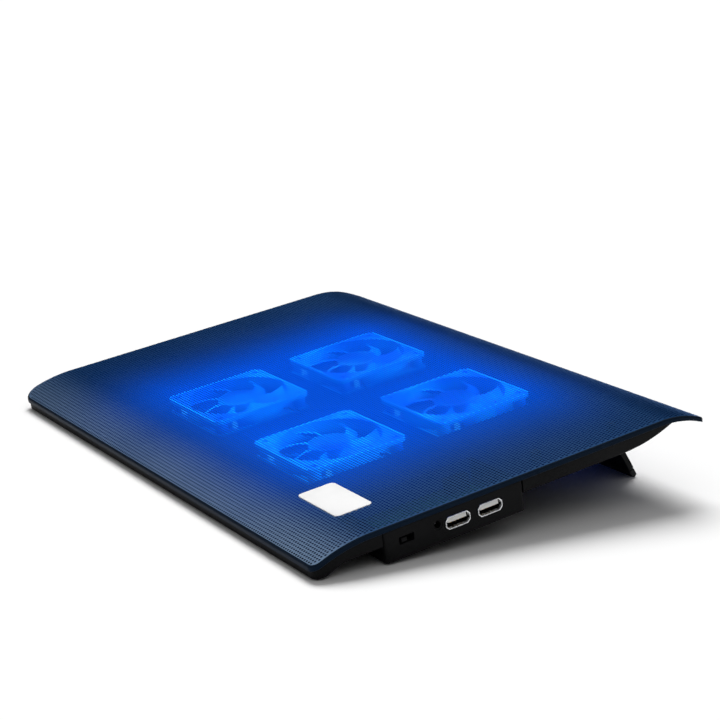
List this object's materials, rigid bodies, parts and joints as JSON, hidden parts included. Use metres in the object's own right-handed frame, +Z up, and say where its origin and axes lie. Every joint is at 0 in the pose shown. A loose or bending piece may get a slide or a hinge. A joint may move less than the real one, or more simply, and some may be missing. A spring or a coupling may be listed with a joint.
{
  "type": "laptop cooling pad",
  "caption": "Laptop cooling pad with a perforated metal deck, fans in a black tray, a port hub on one side and fold-out rear feet.",
  "frame": {"origin": "on the floor, under the middle of the whole pad, with the feet open", "axes": "+X to the hub side, +Y to the back (the feet side), +Z up"},
  "size_m": [0.34, 0.2338, 0.0447],
  "materials": {
    "deck_paint": "satin dark blue",
    "badge": "satin white",
    "black_plastic": "fine texture",
    "clear_blue": "clear blue",
    "port_steel": "bright",
    "white_plastic": "satin",
    "contact": "gold plated",
    "steel": "ground",
    "zinc": "black zinc",
    "bronze": "sintered",
    "magnet": "bonded ferrite",
    "coil": "enamelled wire",
    "lamp": "clear blue lamp",
    "circuit": "solder mask",
    "lead": "soft",
    "rubber": "matte"
  },
  "bodies": {
    "deck": {"mesh_cover": "deck_paint", "badge_plate": "badge", "base_shell": "black_plastic", "hub_housing": "black_plastic", "hub_board": "circuit", "board_screws": "steel", "switch_body": "black_plastic", "jack_body": "black_plastic", "jack_pin": "steel", "fan_leads": "lead", "lead_headers": "black_plastic", "fan_screws": "zinc", "cover_studs": "zinc", "cover_screws": "zinc", "front_pads": "rubber", "base_pads": "rubber", "fan_frame_1": "clear_blue", "fan_bearing_1": "bronze", "fan_coil_1": "coil", "fan_leds_1": "lamp", "fan_frame_2": "clear_blue", "fan_bearing_2": "bronze", "fan_coil_2": "coil", "fan_leds_2": "lamp", "fan_frame_3": "clear_blue", "fan_bearing_3": "bronze", "fan_coil_3": "coil", "fan_leds_3": "lamp", "fan_frame_4": "clear_blue", "fan_bearing_4": "bronze", "fan_coil_4": "coil", "fan_leds_4": "lamp", "usb_shell_1": "port_steel", "usb_tongue_1": "white_plastic", "usb_contacts_1": "contact", "usb_shell_2": "port_steel", "usb_tongue_2": "white_plastic", "usb_contacts_2": "contact", "foot_pin_left": "steel", "foot_pin_right": "steel"},
    "rotor_1": {"fan_rotor_1": "clear_blue", "fan_shaft_1": "steel", "fan_magnet_1": "magnet"},
    "rotor_2": {"fan_rotor_2": "clear_blue", "fan_shaft_2": "steel", "fan_magnet_2": "magnet"},
    "rotor_3": {"fan_rotor_3": "clear_blue", "fan_shaft_3": "steel", "fan_magnet_3": "magnet"},
    "rotor_4": {"fan_rotor_4": "clear_blue", "fan_shaft_4": "steel", "fan_magnet_4": "magnet"},
    "foot_left": {"rear_foot_left": "black_plastic", "foot_tip_left": "rubber"},
    "foot_right": {"rear_foot_right": "black_plastic", "foot_tip_right": "rubber"},
    "switch": {"switch_slider": "black_plastic"}
  },
  "joints": [
    {"name": "fan_1_spin", "type": "hinge", "parent": "deck", "child": "rotor_1", "pos_m": [-0.05, -0.0346, 0.0187], "axis": [0, -0.1478, 0.989], "continuous": true},
    {"name": "fan_2_spin", "type": "hinge", "parent": "deck", "child": "rotor_2", "pos_m": [0.05, -0.0346, 0.0187], "axis": [0, -0.1478, 0.989], "continuous": true},
    {"name": "fan_3_spin", "type": "hinge", "parent": "deck", "child": "rotor_3", "pos_m": [-0.05, 0.04492, 0.03059], "axis": [0, -0.1478, 0.989], "continuous": true},
    {"name": "fan_4_spin", "type": "hinge", "parent": "deck", "child": "rotor_4", "pos_m": [0.05, 0.04492, 0.03059], "axis": [0, -0.1478, 0.989], "continuous": true},
    {"name": "foot_left_fold", "type": "hinge", "parent": "deck", "child": "foot_left", "pos_m": [-0.108, 0.08637, 0.03193], "axis": [-1, 0, 0], "range_deg": [0, 114]},
    {"name": "foot_right_fold", "type": "hinge", "parent": "deck", "child": "foot_right", "pos_m": [0.108, 0.08637, 0.03193], "axis": [-1, 0, 0], "range_deg": [0, 114]},
    {"name": "switch_slide", "type": "slide", "parent": "deck", "child": "switch", "axis": [0, 0.989, 0.1478], "range_m": [0, 0.003]}
  ]
}
